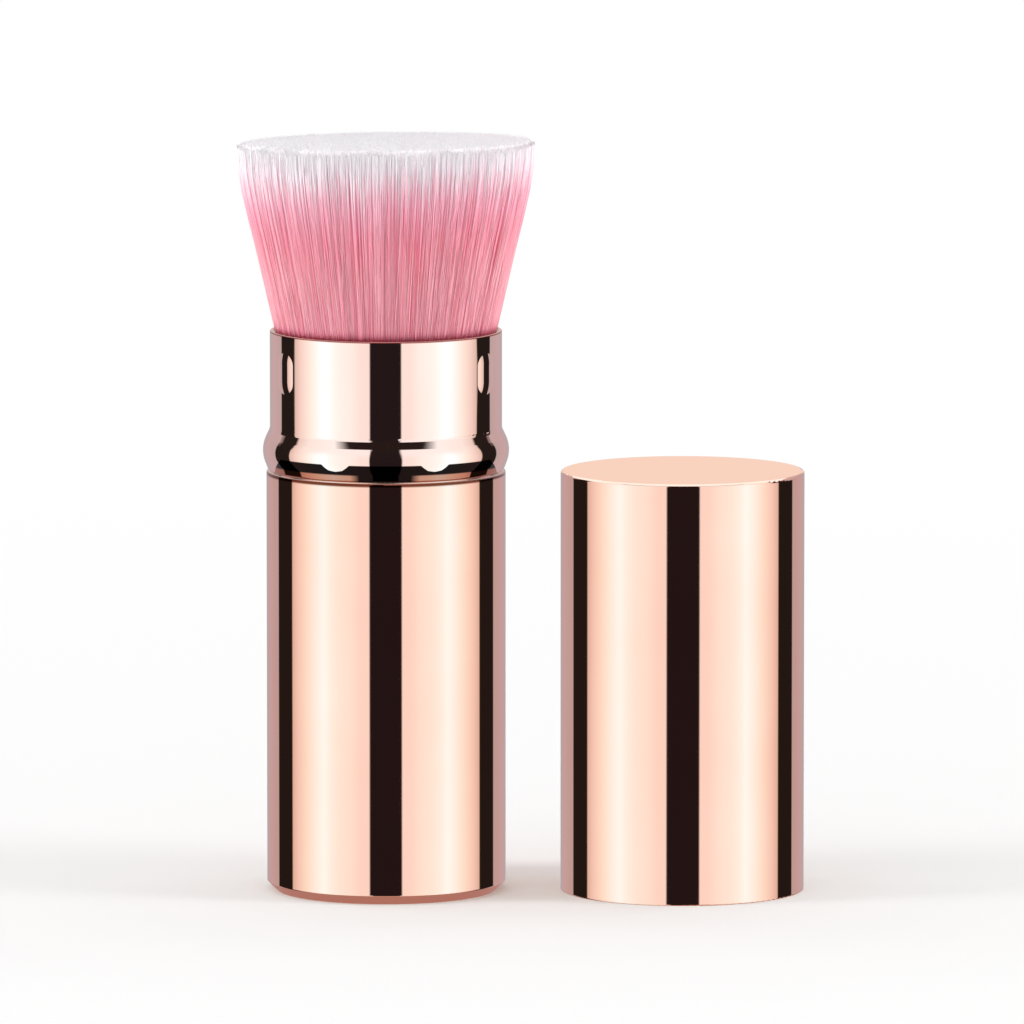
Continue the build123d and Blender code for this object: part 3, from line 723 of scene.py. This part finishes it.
def coreSector(rng, angles, tips):
    # the imported inside of one wedge, closed: streaks up its side in deep tones that are painted
    # shade for the gaps between the fibres, and a top as uneven as packed tips are
    flatShare, sideDrop = tuft["coreShoulder"]
    rises = [np.full(len(angles), rise) for rise in tuft["coreHeights"]]
    rises.append(topRise(tuft["coreShare"], angles) - sideDrop)
    sideRings = len(rises)
    topShares = np.linspace(flatShare, tuft["coreInner"], tuft["coreRows"])
    reachOut = topShares[:, None] * topRadius
    bumps, topTone, topReach = atPlace(tips, reachOut * np.cos(angles), reachOut * np.sin(angles))
    for share, bump in zip(topShares, bumps):
        packed = topRise(share, angles) - tuft["coreBelowTip"]
        rises.append(packed + tuft["coreBumps"] * (2 * bump - 1))
    rises = np.array(rises)
    shares = np.append(np.full(sideRings, tuft["coreShare"]), topShares)
    radii = tuftRadius(rises) * shares[:, None]
    points = np.stack([radii * np.cos(angles), radii * np.sin(angles), rises], axis=2).reshape(-1, 3)
    axisTop = topRise(0, 0) - tuft["coreBelowTip"]
    points = np.concatenate([points, [(0, 0, rises[0, 0]), (0, 0, axisTop)]])

    rings, row = rises.shape
    corner = np.arange(rings * row).reshape(rings, row)
    faces = np.stack([corner[:-1, :-1], corner[:-1, 1:], corner[1:, 1:], corner[1:, :-1]], axis=2)
    faces = faces.reshape(-1, 4).tolist()
    smooth = [True] * ((sideRings - 1) * (row - 1)) + [False] * ((rings - sideRings) * (row - 1))
    bottom, top = rings * row, rings * row + 1
    flat = [(bottom, side + 1, side) for side in range(row - 1)]
    flat += [(top, corner[-1, side], corner[-1, side + 1]) for side in range(row - 1)]
    flat += [(bottom, *corner[:, 0], top), (top, *corner[::-1, -1], bottom)]

    reach = points[:, 2] / tuftRise
    # the side's deep tones are painted shade between the fibres
    tone = np.tile(rng.beta(*tuft["coreShadeToneShape"], row), rings)
    speckled = slice(sideRings * row, rings * row)
    reach[speckled] = np.interp(topReach.ravel(), [0, 1], tuft["coreReach"])
    tone[speckled] = topTone.ravel()
    reach[top] = np.mean(tuft["coreReach"])
    points[:, 2] += rimHeight
    across = np.append(np.tile(np.arange(row) % 3 - 1.0, rings), (0.0, 0.0))
    return {"points": points, "faces": faces + flat, "smooth": smooth + [False] * len(flat),
            "reach": reach, "tone": np.append(tone, [tuft["coreFlatTone"]] * 2), "across": across}


# Map for a bake: tone across and reach up, so that each fibre keeps its dye in it
bakeMap = {
    "margin": 0.01,
    "span": 0.98,
    "toneShare": 0.99,      # of the span
    "halfFibre": 0.004,
    "edge": 0.001,
}


def makeWedge(name, parts, material):
    points, reach, tone, across = (np.concatenate([part[key] for part in parts])
                                   for key in ("points", "reach", "tone", "across"))
    faces, smooth, start = [], [], 0
    for part in parts:
        faces += [[corner + start for corner in face] for face in part["faces"]]
        smooth += part["smooth"]
        start += len(part["points"])
    mesh = bpy.data.meshes.new(name)
    mesh.from_pydata((points * mm).tolist(), [], faces)
    mesh.polygons.foreach_set("use_smooth", smooth)
    reach, tone = np.clip(reach, 0, 1), np.clip(tone, 0, 1)
    for key, values in (("reach", reach), ("tone", tone)):
        attribute = mesh.attributes.new(key, "FLOAT", "POINT")
        attribute.data.foreach_set("value", values.astype(np.float32))
    corners = np.zeros(len(mesh.loops), dtype=np.int32)
    mesh.loops.foreach_get("vertex_index", corners)
    margin, span, edge = bakeMap["margin"], bakeMap["span"], bakeMap["edge"]
    u = margin + span * bakeMap["toneShare"] * tone + bakeMap["halfFibre"] * across
    places = np.clip(np.stack([u, margin + span * reach], axis=1), edge, 1 - edge)[corners]
    mesh.uv_layers.new(name="OFBake").data.foreach_set("uv", places.astype(np.float32).ravel())
    mesh.materials.append(material)
    wedge = bpy.data.objects.new(name, mesh)
    bpy.context.scene.collection.objects.link(wedge)
    return wedge


def makeTuft(material):
    rng = np.random.default_rng(tuft["seed"])
    outer, taper = tuft["outerShare"], tuft["tipWidth"] / tuft["fibreWidth"]
    kinds = []  # angle, path, width, tone and dye of the whole fibres, then of the inner ones
    for count, low, high, sections, fromRim in (
            (tuft["wholeFibres"], outer, 1, tuft["wholeSections"], True),
            (tuft["innerFibres"], 0, outer, tuft["innerSections"], False)):
        share = np.sqrt(rng.uniform(low ** 2, high ** 2, count))
        angle = rng.uniform(0, 2 * math.pi, count)
        start = np.zeros(count) if fromRim else topRise(share, angle) - tuft["innerLength"]
        widths = np.interp(sections, [0, tuft["taperFrom"], 1], [1, 1, taper])
        widths = tuft["fibreWidth"] * rng.uniform(*tuft["widthSpread"], (count, 1)) * widths
        paths = fibrePaths(rng, share, angle, start, np.array(sections))
        kinds.append((angle, paths, widths, *fibreDye(rng, share, angle)))
    step = 2 * math.pi / tuft["wedges"]
    cells = int(tuft["coreGrid"] * topRadius / tuft["coreCell"])
    tips = rng.uniform(0, 1, (3, cells, cells))
    for wedge in range(tuft["wedges"]):
        angles = np.linspace(wedge * step, (wedge + 1) * step, tuft["coreColumns"] + 1)
        parts = [coreSector(rng, angles, tips)]
        for angle, paths, widths, tone, dye in kinds:
            mine = (angle // step).astype(int) == wedge
            parts.append(fibreMesh(paths[mine], widths[mine], tone[mine], dye[mine]))
        piece = makeWedge(f"tuft_wedge_{wedge + 1:02d}", parts, material)
        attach(piece, "base")
        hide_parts("bristles")
        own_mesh(piece)
        piece.visible_glossy = False  # as the nodes below


makeTuft(dyedBristle(bristle))
print("tuft made")

finishes = {name: polishedRoseGold(name, look) for name, look in shells.items()}
for name, look in innerFinishes.items():
    material = innerFinish(name, look)
    finishes.update({piece: material for piece in look["pieces"]})
finishes["root_resin"] = castResin(resin)
finishes["root_binding"] = woundThread(thread)
for name, material in finishes.items():
    slots = nodes[name].data.materials
    slots.clear()
    slots.append(material)
for node in nodes.values():
    node.visible_glossy = False  # the cards alone show in the metal
print("finishes given to", len(finishes), "nodes")
